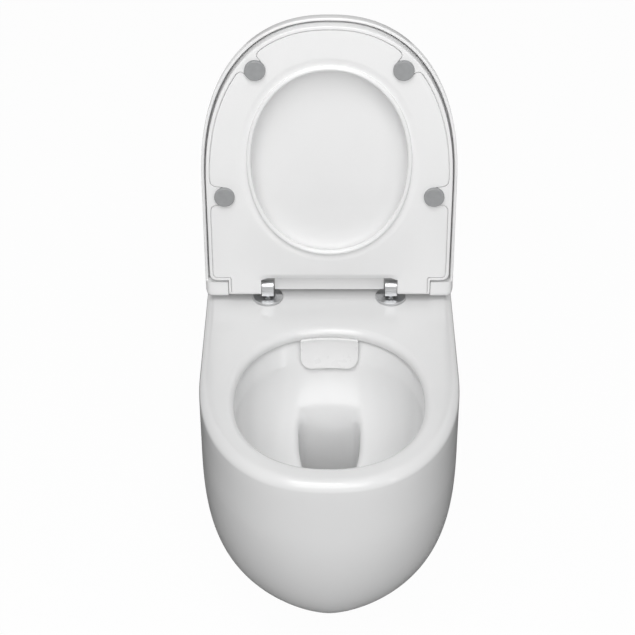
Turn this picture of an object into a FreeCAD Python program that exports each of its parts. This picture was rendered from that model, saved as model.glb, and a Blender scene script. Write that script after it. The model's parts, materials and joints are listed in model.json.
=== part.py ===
import FreeCAD, Part
import math
import os

V = FreeCAD.Vector

# Wall hung toilet, millimetres. +X is the viewer's right, -Y the front, +Z up.
# The origin lies on the wall plane, midway between the two wall bolts.

# Pan, outside
pan_width = 361.0
pan_projection = 490.0        # wall to the front of the rim
deck_height = 80.0            # wall bolts to the deck
pan_drop = 262.0              # wall bolts to the flat of the underside
china = 11.0                  # wall of the ceramic
rim_radius = 14.0             # soft outer edge of the rim
shoulder = 242.0              # where the straight sides end, from the wall
plan_power = 2.3              # fullness of the rounded front at the rim
belly_top = -15.0             # the sides stand upright above this height
belly_width_depth = 256.4     # belly_top to where the width would run out
belly_width_power = 2.74
belly_front_depth = 270.7     # belly_top to where the front would run out
belly_front_power = 2.02
keel = 274.0                  # the front curls in towards this line, from the wall
shoulder_creep = 47.0         # the shoulder moves forward this much at the bottom
bottom_power = 1.61           # fullness of the rounded front at the bottom
belly_levels = (0.0, 0.08, 0.2, 0.35, 0.52, 0.7, 0.86, 1.0)    # shares of its height

# Bowl
bowl_centre = 301.0           # from the wall
bowl_width = 260.0
bowl_length = 298.6
bowl_power = 2.2
bowl_lip_radius = 11.0        # rounding from the deck into the bowl
bowl_depth = 185.0            # below the lip
bowl_side_power = 2.6
bowl_front_power = 2.4
bowl_ramp_power = 1.3         # the back of the bowl is a nearly straight ramp
bowl_levels = (0.0, 0.1, 0.22, 0.36, 0.52, 0.68, 0.82, 0.97)   # shares of the depth

# Sump and trapway
sump_rear = 210.0             # upright back wall of the sump, from the wall
sump_width = 92.0
sump_length = 77.0
sump_nose = 55.0              # length of the sump's rounded front
sump_taper = 9.0              # narrower at the bottom, on each side
sump_floor = -236.0
trap_radius = 36.0
trap_wall = 9.0
trap_bend = 52.0
trap_low = -200.0             # centre of the passage below the dip
trap_high = -72.0             # centre of the passage above the weir
trap_heel = 165.0             # where the passage turns up, from the wall
trap_weir = 115.0             # where it turns down again, from the wall

# Connections at the wall
outlet_height = -100.0
outlet_radius = 51.0          # outside of the spigot
outlet_bore = 42.0
outlet_length = 41.0
outlet_setback = 4.0          # spigot's end, from the wall
inlet_height = 35.0
inlet_radius = 27.5
inlet_depth = 57.0
inlet_wall = 9.0
flush_channel_radius = 18.0
flush_slot_width = 64.0
flush_slot_height = 20.0
flush_slot_drop = 34.0        # deck to the middle of the flush slot
flush_slot_reach = 33.0       # past the bowl's upright back, as the bowl slopes away

# Flush deflector
deflector_width = 84.0
deflector_top_drop = 13.0     # below the deck
deflector_height = 37.0
deflector_corner = 17.0
deflector_stand = 5.0         # space for the water behind the plate
deflector_thick = 4.0
deflector_leg = 6.0

# Wall fixing
bolt_spacing = 180.0
bolt_hole = 13.0
bracket_width = 28.0
bracket_height = 30.0
bracket_length = 60.0
bracket_ear = 14.0
rib_width = 20.0
side_screw_depth = 42.0       # from the wall
side_screw_radius = 4.0
side_head_radius = 7.0
side_head_height = 4.5
side_screw_stop = 3.0         # the screw ends this far from the bolt hole
side_socket_depth = 2.7
bush_radius = 7.0
bush_flange = 2.0
bush_bore_gap = 0.25
counterbore_radius = 12.0
counterbore_depth = 7.0
boss_radius = 19.0
boss_depth = 20.0
cap_radius = 13.5
cap_thick = 2.0
cap_edge = 1.4
cap_skirt = 4.0
cap_skirt_wall = 3.5
slip = 0.1                    # radial gap of parts pushed in by hand
small_edge = 0.6              # fine rounds and chamfers
spare = 1.0                   # how far a cutting shape stands out of what it cuts

# Hinges
hinge_spacing = 180.0
hinge_setback = 70.0          # wall to hinge axis
hinge_rise = 22.0             # deck to hinge axis
open_angle = 93.0             # from closed to the stop, past upright
deck_hole_radius = 7.0
disc_radius = 22.0
disc_thick = 4.0
disc_edge = 0.8
disc_slot_width = 1.2
disc_slot_depth = 0.8
disc_slot_spacing = 5.0
gasket_radius = 21.4
gasket_thick = 0.8
post_width = 17.0
post_barrel_radius = 8.5
post_lift = 4.0               # post's foot above the disc
post_groove = 1.0
post_groove_drop = 5.0        # hinge axis to the groove
spigot_radius = 4.0
spigot_depth = 5.0
collar_radius = 6.0
collar_thick = 2.0
shank_radius = 3.0
shank_length = 45.0           # below the deck
plug_bulge_radius = 10.0
plug_bulge_length = 19.0
plug_edge = 2.5
nut_radius = 8.0
nut_height = 8.0
nut_edge = 1.5
pin_radius = 3.0
pin_grip = 16.0               # length held in the post
pin_reach = 21.0              # length inside the lid's knuckle
pin_fit = 0.05                # radial running clearance
insert_radius = 5.0           # dampers and bushes
insert_fit = 0.02
insert_spare = 1.0            # bore in the knuckle, past the pin's end
damper_groove = 1.0
damper_groove_depth = 0.5
side_gap = 0.4                # between post, ear and knuckle

# Seat, written as it lies when closed: lengths run forward from the hinge
# axis, heights are above or below it
seat_margin = 7.0             # seat's edge inside the lid's edge
seat_rear = 18.0
seat_foot = 6.0               # seat's underside above the deck
seat_thick = 24.0
seat_corner = 7.0
seat_top_edge = 6.0
seat_under_edge = 1.5
seat_wall = 3.5
seat_rim = 4.0                # outer strip beside the underside panel
seat_lip = 7.0                # strip round the opening
panel_thick = 3.0
panel_groove = 0.8
panel_ledge = 2.5
tongue_rear = 1.0             # the panel's tongues under the ears end here
opening_centre = 203.0
opening_width = 220.0
opening_length = 284.0
opening_power = 2.1
ear_width = 47.2
ear_radius = 8.0
bumper_radius = 14.3
bumper_seat = 2.0             # sunk into the seat
bumper_gap = 0.3              # above the rim when closed
bumper_lug = 4.0
bumper_edge = 1.5
bumper_front = 351.0
bumper_front_spread = 201.0
bumper_rear = 157.0
bumper_rear_spread = 295.0

# Lid
lid_width = 360.0
lid_tip = 421.0
lid_shoulder = 172.0
lid_rear = 13.5               # behind the hinge axis
lid_over_seat = 2.0           # space between lid and seat
lid_thick = 3.5
lid_wall = 5.0
lid_skirt = 12.0              # rim's lower edge, below the hinge axis
lid_corner = 8.0
lid_top_edge = 8.0
lid_rim_edge = 1.2
knuckle_front = 13.0
notch_clear = 1.5             # round the post
lid_pad_radius = 7.0
lid_pad_gap = 0.3
lid_pad_place = 375.0
lid_pad_spread = 150.0

# Worked out from the sizes above
hinge_height = deck_height + hinge_rise
seat_under = seat_foot - hinge_rise
seat_top = seat_under + seat_thick
lid_inner = seat_top + lid_over_seat
lid_top = lid_inner + lid_thick
post_face = (hinge_spacing + post_width) / 2
ear_start = post_face + side_gap
knuckle_start = ear_start + ear_width + side_gap
knuckle_bore = pin_reach + insert_spare
disc_top = deck_height + gasket_thick + disc_thick
bracket_side = (bolt_spacing + bracket_width) / 2 + bracket_ear
pan_side = pan_width / 2
bowl_top = deck_height - bowl_lip_radius
bowl_rear = bowl_centre - bowl_length / 2
slot_middle = deck_height - flush_slot_drop
sides = {"left": -1, "right": 1}


def swell(drop, depth, power):
    """Share of the full size that is left at a depth, on a rounded profile."""
    share = min(max(drop / depth, 0.0), 0.999)
    return (1.0 - share ** power) ** (1.0 / power)


def power_point(angle, half_width, half_length, power):
    """A point of a superellipse, as offsets across and forward."""
    across = abs(math.cos(angle)) ** (2.0 / power) * half_width
    forward = abs(math.sin(angle)) ** (2.0 / power) * half_length
    return math.copysign(across, math.cos(angle)), math.copysign(forward, math.sin(angle))


def d_outline(z, half_width, rear, shoulder_at, tip, power):
    """Straight back and sides with a rounded front; distances from the wall."""
    steps = 16
    curve = []
    for step in range(steps + 1):
        across, forward = power_point(math.pi * step / steps, half_width, tip - shoulder_at, power)
        curve.append(V(across, -shoulder_at - abs(forward), z))
    curve[0] = V(half_width, -shoulder_at, z)
    curve[-1] = V(-half_width, -shoulder_at, z)
    front = Part.BSplineCurve()
    front.interpolate(Points=curve, InitialTangent=V(0, -1, 0), FinalTangent=V(0, 1, 0))
    right_rear = V(half_width, -rear, z)
    left_rear = V(-half_width, -rear, z)
    return Part.Wire([
        Part.makeLine(left_rear, right_rear),
        Part.makeLine(right_rear, curve[0]),
        front.toShape(),
        Part.makeLine(curve[-1], left_rear),
    ])


def oval_outline(z, half_width, centre, front_length, rear_length, power):
    """Closed smooth oval whose front and rear halves may differ in length."""
    steps = 32
    points = []
    for step in range(steps):
        angle = 2.0 * math.pi * (step + 0.5) / steps
        length = front_length if math.sin(angle) > 0 else rear_length
        across, forward = power_point(angle, half_width, length, power)
        points.append(V(across, -centre - forward, z))
    curve = Part.BSplineCurve()
    curve.interpolate(Points=points, PeriodicFlag=True)
    return Part.Wire([curve.toShape()])


def prism(wire, height):
    return Part.Face(wire).extrude(V(0, 0, height))


def box(x0, x1, y0, y1, z0, z1):
    low = V(min(x0, x1), min(y0, y1), min(z0, z1))
    return Part.makeBox(abs(x1 - x0), abs(y1 - y0), abs(z1 - z0), low)


def rod(radius, start, end):
    """Round bar between two points."""
    return Part.makeCylinder(radius, (end - start).Length, start, end - start)


def tube(outer, inner, start, end):
    return rod(outer, start, end).cut(rod(inner, start, end))


def edges_at(shape, test):
    """Edges whose ends and middle all pass the test."""
    found = []
    for edge in shape.Edges:
        middle = edge.valueAt((edge.FirstParameter + edge.LastParameter) / 2)
        points = [vertex.Point for vertex in edge.Vertexes] + [middle]
        if all(test(point) for point in points):
            found.append(edge)
    return found


def near(value, target):
    return abs(value - target) < 0.01


def opened(shape):
    """Turn a closed seat or lid piece back to where it stands open."""
    shape.rotate(V(0, -hinge_setback, hinge_height), V(1, 0, 0), -open_angle)
    return shape


# Pan ------------------------------------------------------------------

def pan_level(z, inset, rear):
    """Outline of the pan at one height, moved inwards by inset."""
    drop = belly_top - z
    half_width = pan_side * swell(drop, belly_width_depth, belly_width_power)
    tip = keel + (pan_projection - keel) * swell(drop, belly_front_depth, belly_front_power)
    share = max(drop, 0.0) / (belly_top + pan_drop)
    power = plan_power + (bottom_power - plan_power) * share
    return d_outline(z, half_width - inset, rear, shoulder + shoulder_creep * share, tip - inset, power)


def pan_form(inset, rear, low, high):
    levels = [low + (belly_top - low) * share for share in belly_levels]
    levels += [(belly_top + high) / 2, high]
    return Part.makeLoft([pan_level(z, inset, rear) for z in levels], True, False)


def pan_outside():
    """Skin of the pan with the soft edge along its sides and front."""
    form = pan_form(0.0, -china, -pan_drop, deck_height)
    soft = edges_at(form, lambda p: near(p.z, deck_height))
    soft = [edge for edge in soft if not all(near(end.Point.y, china) for end in edge.Vertexes)]
    behind_wall = box(-pan_width, pan_width, 0, 2 * china, -2 * pan_drop, 2 * deck_height)
    return form.makeFillet(rim_radius, soft).cut(behind_wall)


def bowl_form(inset):
    """The bowl's space, made smaller by inset or larger by a negative one."""
    rings = []
    for share in bowl_levels:
        drop = bowl_depth * share
        rings.append(oval_outline(
            bowl_top - drop,
            bowl_width / 2 * swell(drop, bowl_depth, bowl_side_power) - inset,
            bowl_centre,
            bowl_length / 2 * swell(drop, bowl_depth, bowl_front_power) - inset,
            bowl_length / 2 * swell(drop, bowl_depth, bowl_ramp_power) - inset,
            bowl_power,
        ))
    return Part.makeLoft(rings, True, False)


def bowl_mouth():
    """Rounding from the deck down into the bowl."""
    rings = []
    steps = 6
    for step in range(steps + 1):
        angle = math.pi / 2 * step / steps
        flare = bowl_lip_radius * (1.0 - math.cos(angle))
        z = bowl_top + bowl_lip_radius * math.sin(angle)
        length = bowl_length / 2 + flare
        rings.append(oval_outline(z, bowl_width / 2 + flare, bowl_centre, length, length, bowl_power))
    return Part.makeLoft(rings, True, False)


def bowl_collar():
    """Ceramic that carries the bowl from the deck."""
    half_width = bowl_width / 2 + china
    length = bowl_length / 2 + china
    ring = oval_outline(bowl_top, half_width, bowl_centre, length, length, bowl_power)
    return prism(ring, bowl_lip_radius)


def sump_form(wall):
    """Deep pocket at the bottom of the bowl; wall makes it larger all round."""
    top = belly_top - wall
    wires = []
    for z, narrow in ((sump_floor - wall, sump_taper), (top, 0.0)):
        half_width = sump_width / 2 - narrow + wall
        tip = sump_rear + sump_length + wall
        wires.append(d_outline(z, half_width, sump_rear - wall, tip - sump_nose, tip - narrow, 2.0))
    return Part.makeLoft(wires, True, True)


def rounded_path(points, radius):
    """Wire of straight runs joined by tangent arcs, in the plane x = 0."""
    edges = []
    last = points[0]
    for before, corner, after in zip(points, points[1:], points[2:]):
        back = (before - corner).normalize()
        ahead = (after - corner).normalize()
        half = math.acos(max(-1.0, min(1.0, back.dot(ahead)))) / 2
        run = radius / math.tan(half)
        inward = (back + ahead).normalize()
        start = corner + back * run
        end = corner + ahead * run
        middle = corner + inward * (radius / math.sin(half) - radius)
        edges.append(Part.makeLine(last, start))
        edges.append(Part.Arc(start, middle, end).toShape())
        last = end
    edges.append(Part.makeLine(last, points[-1]))
    return Part.Wire(edges)


def trap_form(radius):
    """The passage that dips, climbs over the weir and drops to the outlet."""
    spigot_start = outlet_setback + outlet_length
    stations = (
        (sump_rear + sump_length - sump_nose, trap_low),
        (trap_heel, trap_low),
        (trap_weir, trap_high),
        (spigot_start, outlet_height),
        (spigot_start - outlet_setback, outlet_height),
    )
    points = [V(0, -y, z) for y, z in stations]
    path = rounded_path(points, trap_bend)
    section = Part.Wire([Part.makeCircle(radius, points[0], V(0, 1, 0))])
    return path.makePipeShell([section], True, True)


def inlet_form(wall, mouth):
    """Flush inlet, its channel and the slot behind the deflector."""
    bore = rod(inlet_radius + wall, V(0, mouth, inlet_height), V(0, -inlet_depth - wall, inlet_height))
    channel_end = V(0, -bowl_rear + china, inlet_height)
    channel = rod(flush_channel_radius + wall, V(0, -inlet_depth, inlet_height), channel_end)
    slot = box(
        -flush_slot_width / 2 - wall, flush_slot_width / 2 + wall,
        -bowl_rear + 2 * china + wall, -bowl_rear - flush_slot_reach,
        slot_middle - flush_slot_height / 2 - wall, slot_middle + flush_slot_height / 2 + wall,
    )
    return bore.fuse([channel, slot])


def bearing_ribs():
    """Webs under the deck that hang the pan on its two brackets."""
    ribs = []
    for side in sides.values():
        middle = side * bolt_spacing / 2
        ribs.append(box(
            middle - rib_width / 2, middle + rib_width / 2,
            -china, -bracket_length + china / 2,
            bracket_height / 2, deck_height - china / 2,
        ))
    return ribs


def side_bosses():
    return [
        rod(boss_radius, V(side * (pan_side - boss_depth), -side_screw_depth, 0),
            V(side * (pan_side - china / 2), -side_screw_depth, 0))
        for side in sides.values()
    ]


def pan_holes():
    """Deck holes for the hinges and side holes for the fixing screws."""
    holes = []
    for side in sides.values():
        hinge_x = side * hinge_spacing / 2
        holes.append(rod(deck_hole_radius, V(hinge_x, -hinge_setback, deck_height - 3 * china),
                         V(hinge_x, -hinge_setback, deck_height + china)))
        outer = V(side * (pan_side + china), -side_screw_depth, 0)
        holes.append(rod(bush_radius, V(side * (pan_side - 2 * boss_depth), -side_screw_depth, 0), outer))
        holes.append(rod(counterbore_radius,
                         V(side * (pan_side - counterbore_depth), -side_screw_depth, 0), outer))
    return holes


def make_pan():
    skin = pan_outside()
    hollow = pan_form(china, -2 * china, -pan_drop + china, deck_height - china)
    casing = skin.cut(hollow)
    spigot = rod(outlet_radius, V(0, -outlet_setback - outlet_length, outlet_height),
                 V(0, -outlet_setback, outlet_height))
    inner = bowl_form(-china).fuse(
        [bowl_collar(), sump_form(trap_wall), trap_form(trap_radius + trap_wall), spigot,
         inlet_form(inlet_wall, 0.0)] + bearing_ribs() + side_bosses())
    body = casing.fuse(inner.common(skin))
    spaces = [
        bowl_form(0.0), bowl_mouth(), sump_form(0.0), trap_form(trap_radius),
        rod(outlet_bore, V(0, -outlet_setback - outlet_length, outlet_height), V(0, china, outlet_height)),
        inlet_form(0.0, china),
    ]
    return body.cut(spaces + pan_holes())


def make_deflector():
    """Curved plate over the flush slot, with two legs that snap into it."""
    top = deck_height - deflector_top_drop
    low = top - deflector_height
    half = deflector_width / 2
    wall_y = -bowl_rear
    curved = bowl_form(deflector_stand).cut(bowl_form(deflector_stand + deflector_thick))
    outline = box(-half, half, wall_y - bowl_length / 4, wall_y, low, top)
    corners = edges_at(outline, lambda p: near(p.z, low) and near(abs(p.x), half))
    outline = outline.makeFillet(deflector_corner, corners)
    plate = curved.common(outline)
    legs = []
    for side in sides.values():
        outer = side * flush_slot_width / 2
        leg = box(outer, outer - side * deflector_leg, wall_y - flush_slot_reach, wall_y + china,
                  slot_middle - deflector_leg, slot_middle + deflector_leg)
        legs.append(leg.cut(bowl_form(deflector_stand + deflector_thick / 2)))
    return plate.fuse(legs)


# Wall fixing ----------------------------------------------------------

def make_bracket(side):
    """Block on the wall bolt that the pan hangs on."""
    middle = side * bolt_spacing / 2
    half = bracket_width / 2
    block = box(middle - half, middle + half, 0, -bracket_length, -bracket_height / 2, bracket_height / 2)
    ear_root = side * (abs(middle) + half)
    ear = box(ear_root, side * bracket_side, -side_screw_depth + bracket_ear,
              -side_screw_depth - bracket_ear, -bracket_ear / 2, bracket_ear / 2)
    bolt = rod(bolt_hole / 2, V(middle, china, 0), V(middle, -bracket_length - china, 0))
    return block.fuse(ear).cut([bolt, side_screw_shank(side)])


def side_screw_shank(side):
    stop = bolt_spacing / 2 + bolt_hole / 2 + side_screw_stop
    seat = pan_side - counterbore_depth + bush_flange
    return rod(side_screw_radius, V(side * stop, -side_screw_depth, 0), V(side * seat, -side_screw_depth, 0))


def make_side_screw(side):
    """Long screw from the pan's side into the bracket, with a hex socket."""
    seat = pan_side - counterbore_depth + bush_flange
    top = V(side * (seat + side_head_height), -side_screw_depth, 0)
    head = rod(side_head_radius, V(side * seat, -side_screw_depth, 0), top)
    head = head.makeChamfer(small_edge, edges_at(head, lambda p: near(abs(p.x), seat + side_head_height)))
    socket = Part.makePolygon([
        V(0, side_screw_radius * math.cos(math.pi * corner / 3),
          side_screw_radius * math.sin(math.pi * corner / 3))
        for corner in range(7)
    ])
    recess = Part.Face(socket).extrude(V(-side * side_socket_depth, 0, 0))
    recess.translate(top)
    return head.fuse(side_screw_shank(side)).cut(recess)


def make_side_bush(side):
    """Nylon bush that keeps the screw off the ceramic."""
    floor = pan_side - counterbore_depth
    axis_y = -side_screw_depth
    sleeve = rod(bush_radius - slip, V(side * (pan_side - boss_depth), axis_y, 0), V(side * floor, axis_y, 0))
    flange = rod(counterbore_radius - 2 * slip, V(side * floor, axis_y, 0),
                 V(side * (floor + bush_flange), axis_y, 0))
    bore = rod(side_screw_radius + bush_bore_gap, V(0, axis_y, 0), V(side * pan_width, axis_y, 0))
    return sleeve.fuse(flange).cut(bore)


def make_side_cap(side):
    """Snap-in cap over the fixing screw."""
    axis_y = -side_screw_depth
    face = V(side * pan_side, axis_y, 0)
    disc = rod(cap_radius, face, V(side * (pan_side + cap_thick), axis_y, 0))
    rim = edges_at(disc, lambda p: near(abs(p.x), pan_side + cap_thick))
    disc = disc.makeFillet(cap_edge, rim)
    skirt = tube(counterbore_radius - slip, counterbore_radius - cap_skirt_wall,
                 V(side * (pan_side - cap_skirt), axis_y, 0), face)
    return disc.fuse(skirt)


# Hinges ---------------------------------------------------------------

def hinge_point(side, z):
    return V(side * hinge_spacing / 2, -hinge_setback, z)


def make_gasket(side):
    low = hinge_point(side, deck_height)
    return tube(gasket_radius, deck_hole_radius, low, hinge_point(side, deck_height + gasket_thick))


def make_disc(side):
    """Polished base disc with two fine grooves towards the front."""
    low = hinge_point(side, deck_height + gasket_thick)
    top = hinge_point(side, disc_top)
    disc = rod(disc_radius, low, top)
    disc = disc.makeFillet(disc_edge, edges_at(disc, lambda p: near(p.z, disc_top)))
    cuts = [
        rod(shank_radius + slip, low, top),
        rod(collar_radius + slip, hinge_point(side, disc_top - collar_thick), top),
    ]
    for offset in (-1, 1):
        middle = top.x + offset * disc_slot_spacing / 2
        cuts.append(box(middle - disc_slot_width / 2, middle + disc_slot_width / 2,
                        top.y - collar_radius - disc_slot_width, top.y - 2 * disc_radius,
                        disc_top - disc_slot_depth, disc_top + disc_slot_depth))
    return disc.cut(cuts)


def make_bolt(side):
    """Stud that clamps the disc and carries the post on its spigot."""
    foot = disc_top + post_lift
    shank = rod(shank_radius, hinge_point(side, deck_height - shank_length), hinge_point(side, disc_top))
    collar = rod(collar_radius, hinge_point(side, disc_top - collar_thick), hinge_point(side, disc_top))
    spigot = rod(spigot_radius, hinge_point(side, disc_top), hinge_point(side, foot + spigot_depth))
    return shank.fuse([collar, spigot])


def make_plug(side):
    """Rubber plug that grips the deck hole and bulges below it."""
    under = deck_height - china
    neck = rod(deck_hole_radius - slip, hinge_point(side, under), hinge_point(side, deck_height))
    bulge = rod(plug_bulge_radius, hinge_point(side, under - plug_bulge_length), hinge_point(side, under))
    bulge = bulge.makeFillet(plug_edge, edges_at(bulge, lambda p: near(p.z, under)))
    bore = rod(shank_radius + slip, hinge_point(side, 0.0), hinge_point(side, deck_height))
    return neck.fuse(bulge).cut(bore)


def make_nut(side):
    """Round brass nut that draws the plug up."""
    top = deck_height - china - plug_bulge_length
    nut = rod(nut_radius, hinge_point(side, top - nut_height), hinge_point(side, top))
    nut = nut.makeChamfer(nut_edge, edges_at(nut, lambda p: near(p.z, top - nut_height)))
    return nut.cut(rod(shank_radius, hinge_point(side, 0.0), hinge_point(side, deck_height)))


def make_post(side):
    """Hinge block: upright foot, groove and round barrel."""
    middle = side * hinge_spacing / 2
    half = post_width / 2
    foot = disc_top + post_lift
    radius = post_barrel_radius
    block = box(middle - half, middle + half, -hinge_setback - radius, -hinge_setback + radius,
                foot, hinge_height)
    barrel = rod(radius, axis_point(middle - half), axis_point(middle + half))
    groove_z = hinge_height - post_groove_drop
    core = radius - post_groove
    ring = box(middle - half, middle + half, -hinge_setback - radius, -hinge_setback + radius,
               groove_z - post_groove / 2, groove_z + post_groove / 2)
    ring = ring.cut(box(middle - half, middle + half, -hinge_setback - core, -hinge_setback + core,
                        groove_z - post_groove, groove_z + post_groove))
    body = block.fuse(barrel).removeSplitter()
    body = body.makeFillet(small_edge, edges_at(body, lambda p: near(p.z, foot)))
    spigot_hole = rod(spigot_radius + slip, hinge_point(side, foot - spigot_depth),
                      hinge_point(side, foot + spigot_depth))
    return body.cut([ring, spigot_hole, make_pin(side)])


def make_pin(side):
    """Shaft from the post through the seat's ear into the lid's knuckle."""
    return rod(pin_radius, axis_point(side * (post_face - pin_grip)),
               axis_point(side * (knuckle_start + pin_reach)))


def axis_point(x):
    return V(x, -hinge_setback, hinge_height)


def make_bush(side, start, length):
    """Plain bush round the pin."""
    low = axis_point(side * start)
    high = axis_point(side * (start + length))
    return opened(tube(insert_radius - insert_fit, pin_radius + pin_fit, low, high))


def make_damper(side, start, length):
    """Soft-close cartridge round the pin, with a groove behind its cap."""
    groove_start = start + length / 3
    groove = tube(insert_radius, insert_radius - damper_groove_depth, axis_point(side * groove_start),
                  axis_point(side * (groove_start + damper_groove)))
    return make_bush(side, start, length).cut(opened(groove))


# Seat -----------------------------------------------------------------

def forward(distance):
    """Distance from the wall of a point ahead of the hinge axis."""
    return hinge_setback + distance


def seat_outline(height, inset):
    half = lid_width / 2 - seat_margin - inset
    tip = forward(lid_tip - seat_margin - inset)
    return d_outline(hinge_height + height, half, forward(seat_rear + inset),
                     forward(lid_shoulder), tip, plan_power)


def opening_form(grow, low, high):
    wire = oval_outline(hinge_height + low, opening_width / 2 + grow, forward(opening_centre),
                        opening_length / 2 + grow, opening_length / 2 + grow, opening_power)
    return prism(wire, high - low)


def bumper_places():
    """Across and forward place of the four bumpers, by name."""
    return {
        "front_left": (-bumper_front_spread / 2, bumper_front),
        "front_right": (bumper_front_spread / 2, bumper_front),
        "rear_left": (-bumper_rear_spread / 2, bumper_rear),
        "rear_right": (bumper_rear_spread / 2, bumper_rear),
    }


def upright(x, distance, radius, low, high):
    """Upright round bar on the closed seat."""
    y = -forward(distance)
    return rod(radius, V(x, y, hinge_height + low), V(x, y, hinge_height + high))


def ear_solid(side):
    """Lug of the seat round the hinge pin, rounded at its back."""
    def place(distance, height):
        return V(side * ear_start, -forward(distance), hinge_height + height)
    radius = ear_radius
    slant = radius * math.sqrt(0.5)
    front = seat_rear + 2 * seat_top_edge
    edges = [
        Part.makeLine(place(front, seat_top), place(0, seat_top)),
        Part.Arc(place(0, seat_top), place(-slant, seat_top - radius + slant),
                 place(-radius, seat_top - radius)).toShape(),
        Part.makeLine(place(-radius, seat_top - radius), place(-radius, seat_under + radius)),
        Part.Arc(place(-radius, seat_under + radius), place(-slant, seat_under + radius - slant),
                 place(0, seat_under)).toShape(),
        Part.makeLine(place(0, seat_under), place(front, seat_under)),
        Part.makeLine(place(front, seat_under), place(front, seat_top)),
    ]
    return Part.Face(Part.Wire(edges)).extrude(V(side * ear_width, 0, 0))


def under_region(gap, low, high, ledge):
    """Space of the underside panel: inside the rim, round lugs and opening."""
    inset = seat_rim + gap + ledge
    region = prism(seat_outline(low, inset), high - low)
    cuts = [opening_form(seat_lip + gap + ledge, low - spare, high + spare)]
    for x, distance in bumper_places().values():
        cuts.append(upright(x, distance, bumper_radius + bumper_lug + gap, low - spare, high + spare))
    return region.cut(cuts)


def ear_tongue(side, gap, low, high):
    margin = seat_rim / 2 + gap
    return box(side * (ear_start + margin), side * (ear_start + ear_width - margin),
               -forward(tongue_rear + gap), -forward(seat_rear + 2 * seat_rim),
               hinge_height + low, hinge_height + high)


def make_seat_shell():
    """Moulded seat: solid rim, lip and ears, hollow behind the panel."""
    ring = prism(seat_outline(seat_under, 0.0), seat_thick)
    rear_y = -forward(seat_rear)
    upright_corners = [edge for edge in edges_at(ring, lambda p: near(p.y, rear_y))
                       if not near(edge.Vertexes[0].Point.z, edge.Vertexes[1].Point.z)]
    ring = ring.makeFillet(seat_corner, upright_corners)
    ring = ring.cut(opening_form(0.0, seat_under - spare, seat_top + spare))
    top_z = hinge_height + seat_top
    low_z = hinge_height + seat_under
    ring = ring.makeFillet(seat_top_edge, edges_at(ring, lambda p: near(p.z, top_z)))
    ring = ring.makeFillet(seat_under_edge, edges_at(ring, lambda p: near(p.z, low_z)))
    seat = ring.fuse([ear_solid(side) for side in sides.values()])
    recess_top = seat_under + panel_thick
    cuts = [under_region(0.0, seat_under - spare, recess_top, 0.0)]
    cuts.append(under_region(0.0, seat_under, seat_top - seat_wall, panel_ledge))
    for side in sides.values():
        cuts.append(ear_tongue(side, 0.0, seat_under - spare, recess_top))
        cuts.append(rod(insert_radius, axis_point(side * hinge_spacing / 2),
                        axis_point(side * knuckle_start)))
    for x, distance in bumper_places().values():
        cuts.append(upright(x, distance, bumper_radius, seat_under - spare, seat_under + bumper_seat))
    return opened(seat.cut(cuts))


def make_seat_panel():
    """Cover of the underside, a fine groove away from the shell's rim."""
    top = seat_under + panel_thick
    panel = under_region(panel_groove, seat_under, top, 0.0)
    panel = panel.fuse([ear_tongue(side, panel_groove, seat_under, top) for side in sides.values()])
    return opened(panel)


def make_bumper(place):
    x, distance = bumper_places()[place]
    low = bumper_gap - hinge_rise
    pad = upright(x, distance, bumper_radius, low, seat_under + bumper_seat)
    foot = edges_at(pad, lambda p: near(p.z, hinge_height + low))
    return opened(pad.makeFillet(bumper_edge, foot))


# Lid ------------------------------------------------------------------

def lid_outline(height, inset, rear):
    return d_outline(hinge_height + height, lid_width / 2 - inset, forward(rear),
                     forward(lid_shoulder), forward(lid_tip - inset), plan_power)


def make_lid():
    """Cover that wraps round the seat, with a knuckle in each rear corner."""
    shell = prism(lid_outline(-lid_skirt, 0.0, -lid_rear), lid_skirt + lid_top)
    rear_y = -forward(-lid_rear)
    upright_corners = [edge for edge in edges_at(shell, lambda p: near(p.y, rear_y))
                       if not near(edge.Vertexes[0].Point.z, edge.Vertexes[1].Point.z)]
    shell = shell.makeFillet(lid_corner, upright_corners)
    top_z = hinge_height + lid_top
    low_z = hinge_height - lid_skirt
    shell = shell.makeFillet(lid_top_edge, edges_at(shell, lambda p: near(p.z, top_z)))
    shell = shell.makeFillet(lid_rim_edge, edges_at(shell, lambda p: near(p.z, low_z)))
    space = prism(lid_outline(-lid_skirt - spare, lid_wall, -2 * lid_rear), lid_skirt + spare + lid_inner)
    knuckles = [
        box(side * knuckle_start, side * lid_width / 2, -forward(-lid_rear), -forward(knuckle_front),
            hinge_height - lid_skirt, hinge_height + lid_inner)
        for side in sides.values()
    ]
    cuts = [space.cut(knuckles)]
    for side in sides.values():
        cuts.append(rod(insert_radius, axis_point(side * ear_start),
                        axis_point(side * (knuckle_start + knuckle_bore))))
        notch = post_width / 2 + notch_clear
        middle = side * hinge_spacing / 2
        cuts.append(box(middle - notch, middle + notch, -forward(-2 * lid_rear),
                        -forward(post_barrel_radius + notch_clear), hinge_height, hinge_height + 2 * lid_top))
    return opened(shell.cut(cuts))


def make_lid_pad(side):
    """Soft pad between the lid and the seat."""
    pad = upright(side * lid_pad_spread / 2, lid_pad_place, lid_pad_radius,
                  seat_top + lid_pad_gap, lid_inner)
    low = edges_at(pad, lambda p: near(p.z, hinge_height + seat_top + lid_pad_gap))
    return opened(pad.makeFillet(small_edge, low))


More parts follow.
